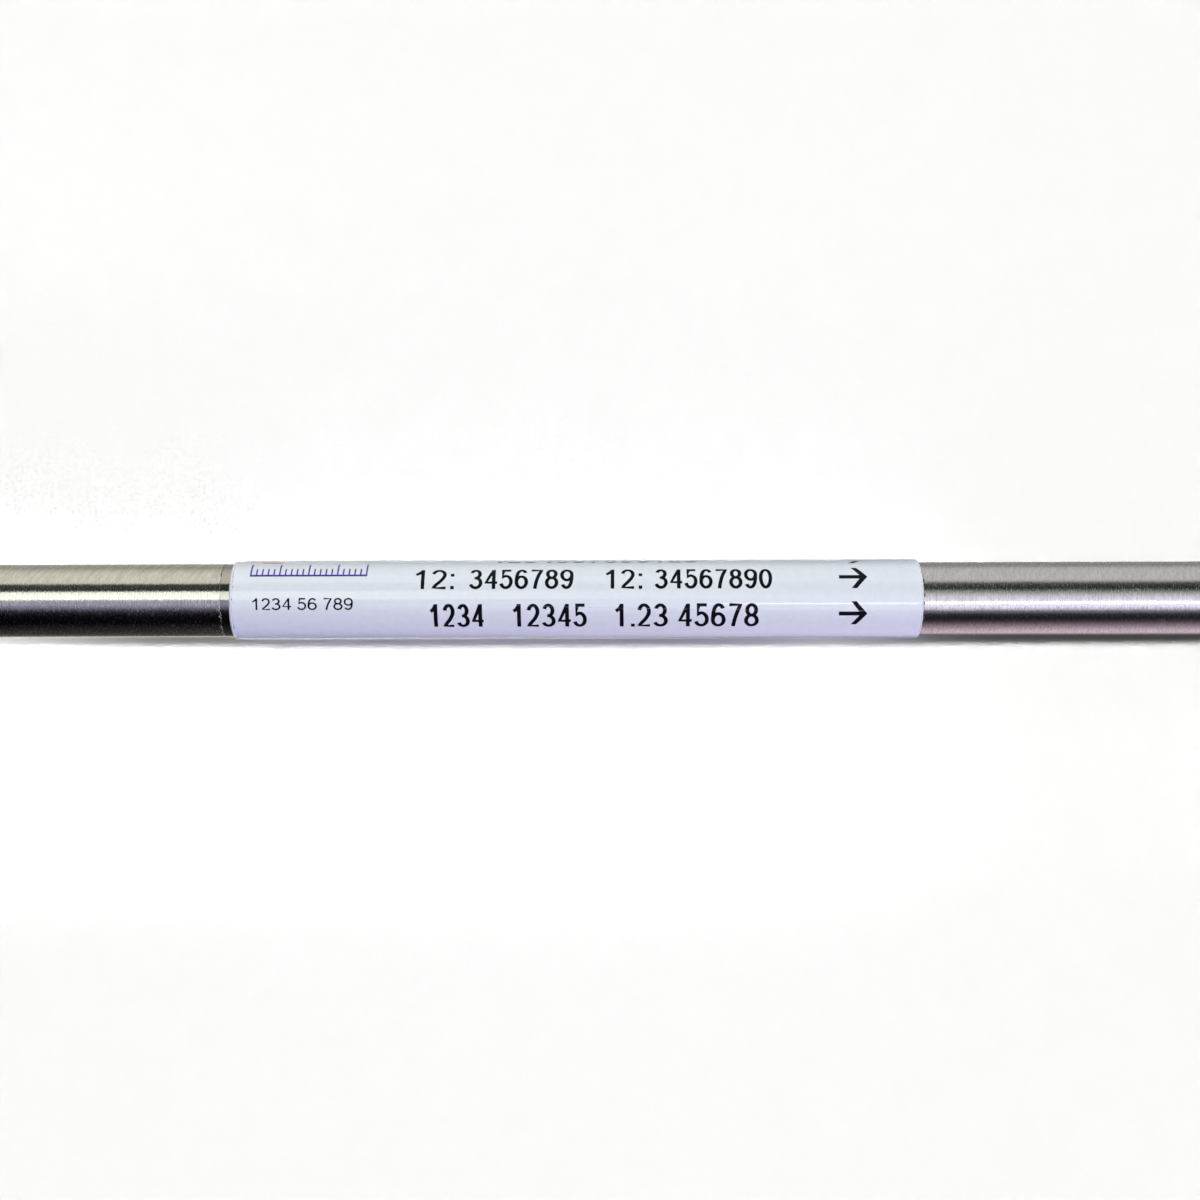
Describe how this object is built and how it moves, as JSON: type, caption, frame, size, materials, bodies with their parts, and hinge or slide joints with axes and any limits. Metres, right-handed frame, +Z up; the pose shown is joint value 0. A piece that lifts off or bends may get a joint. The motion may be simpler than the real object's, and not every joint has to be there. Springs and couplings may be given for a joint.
{
  "type": "hplc column",
  "caption": "Packed steel tube for liquid chromatography, clamped between compression end fittings with coned ports, with a wrap-around label under clear film.",
  "frame": {"origin": "the middle of the packed bed, on the tube's axis, which is the centre of the bounding box", "axes": "+X along the tube in the direction of flow, from inlet to outlet; +Z up, with a flat of each nut facing down; -Y is the side that the label is read from"},
  "size_m": [0.1796, 0.0164, 0.0142],
  "materials": {
    "tube_steel": "centreless-ground, fine lines round the tube",
    "fitting_steel": "turned and drawn hexagon bar, bright",
    "ferrule_steel": "turned, smooth",
    "frit_steel": "sintered, matte and grainy",
    "seal_polymer": "natural beige moulded polymer",
    "bed_resin": "fine packed beads",
    "label_white": "white printed film, smooth",
    "clear_film": "clear glossy film"
  },
  "bodies": {
    "root": {"column_tube": "tube_steel", "packed_bed": "bed_resin", "label": "label_white", "label_film": "clear_film", "inlet_frit": "frit_steel", "inlet_frit_ring": "seal_polymer", "inlet_front_ferrule": "ferrule_steel", "inlet_back_ferrule": "ferrule_steel", "inlet_nut": "fitting_steel", "inlet_end_fitting": "fitting_steel", "outlet_frit": "frit_steel", "outlet_frit_ring": "seal_polymer", "outlet_front_ferrule": "ferrule_steel", "outlet_back_ferrule": "ferrule_steel", "outlet_nut": "fitting_steel", "outlet_end_fitting": "fitting_steel"}
  },
  "joints": []
}
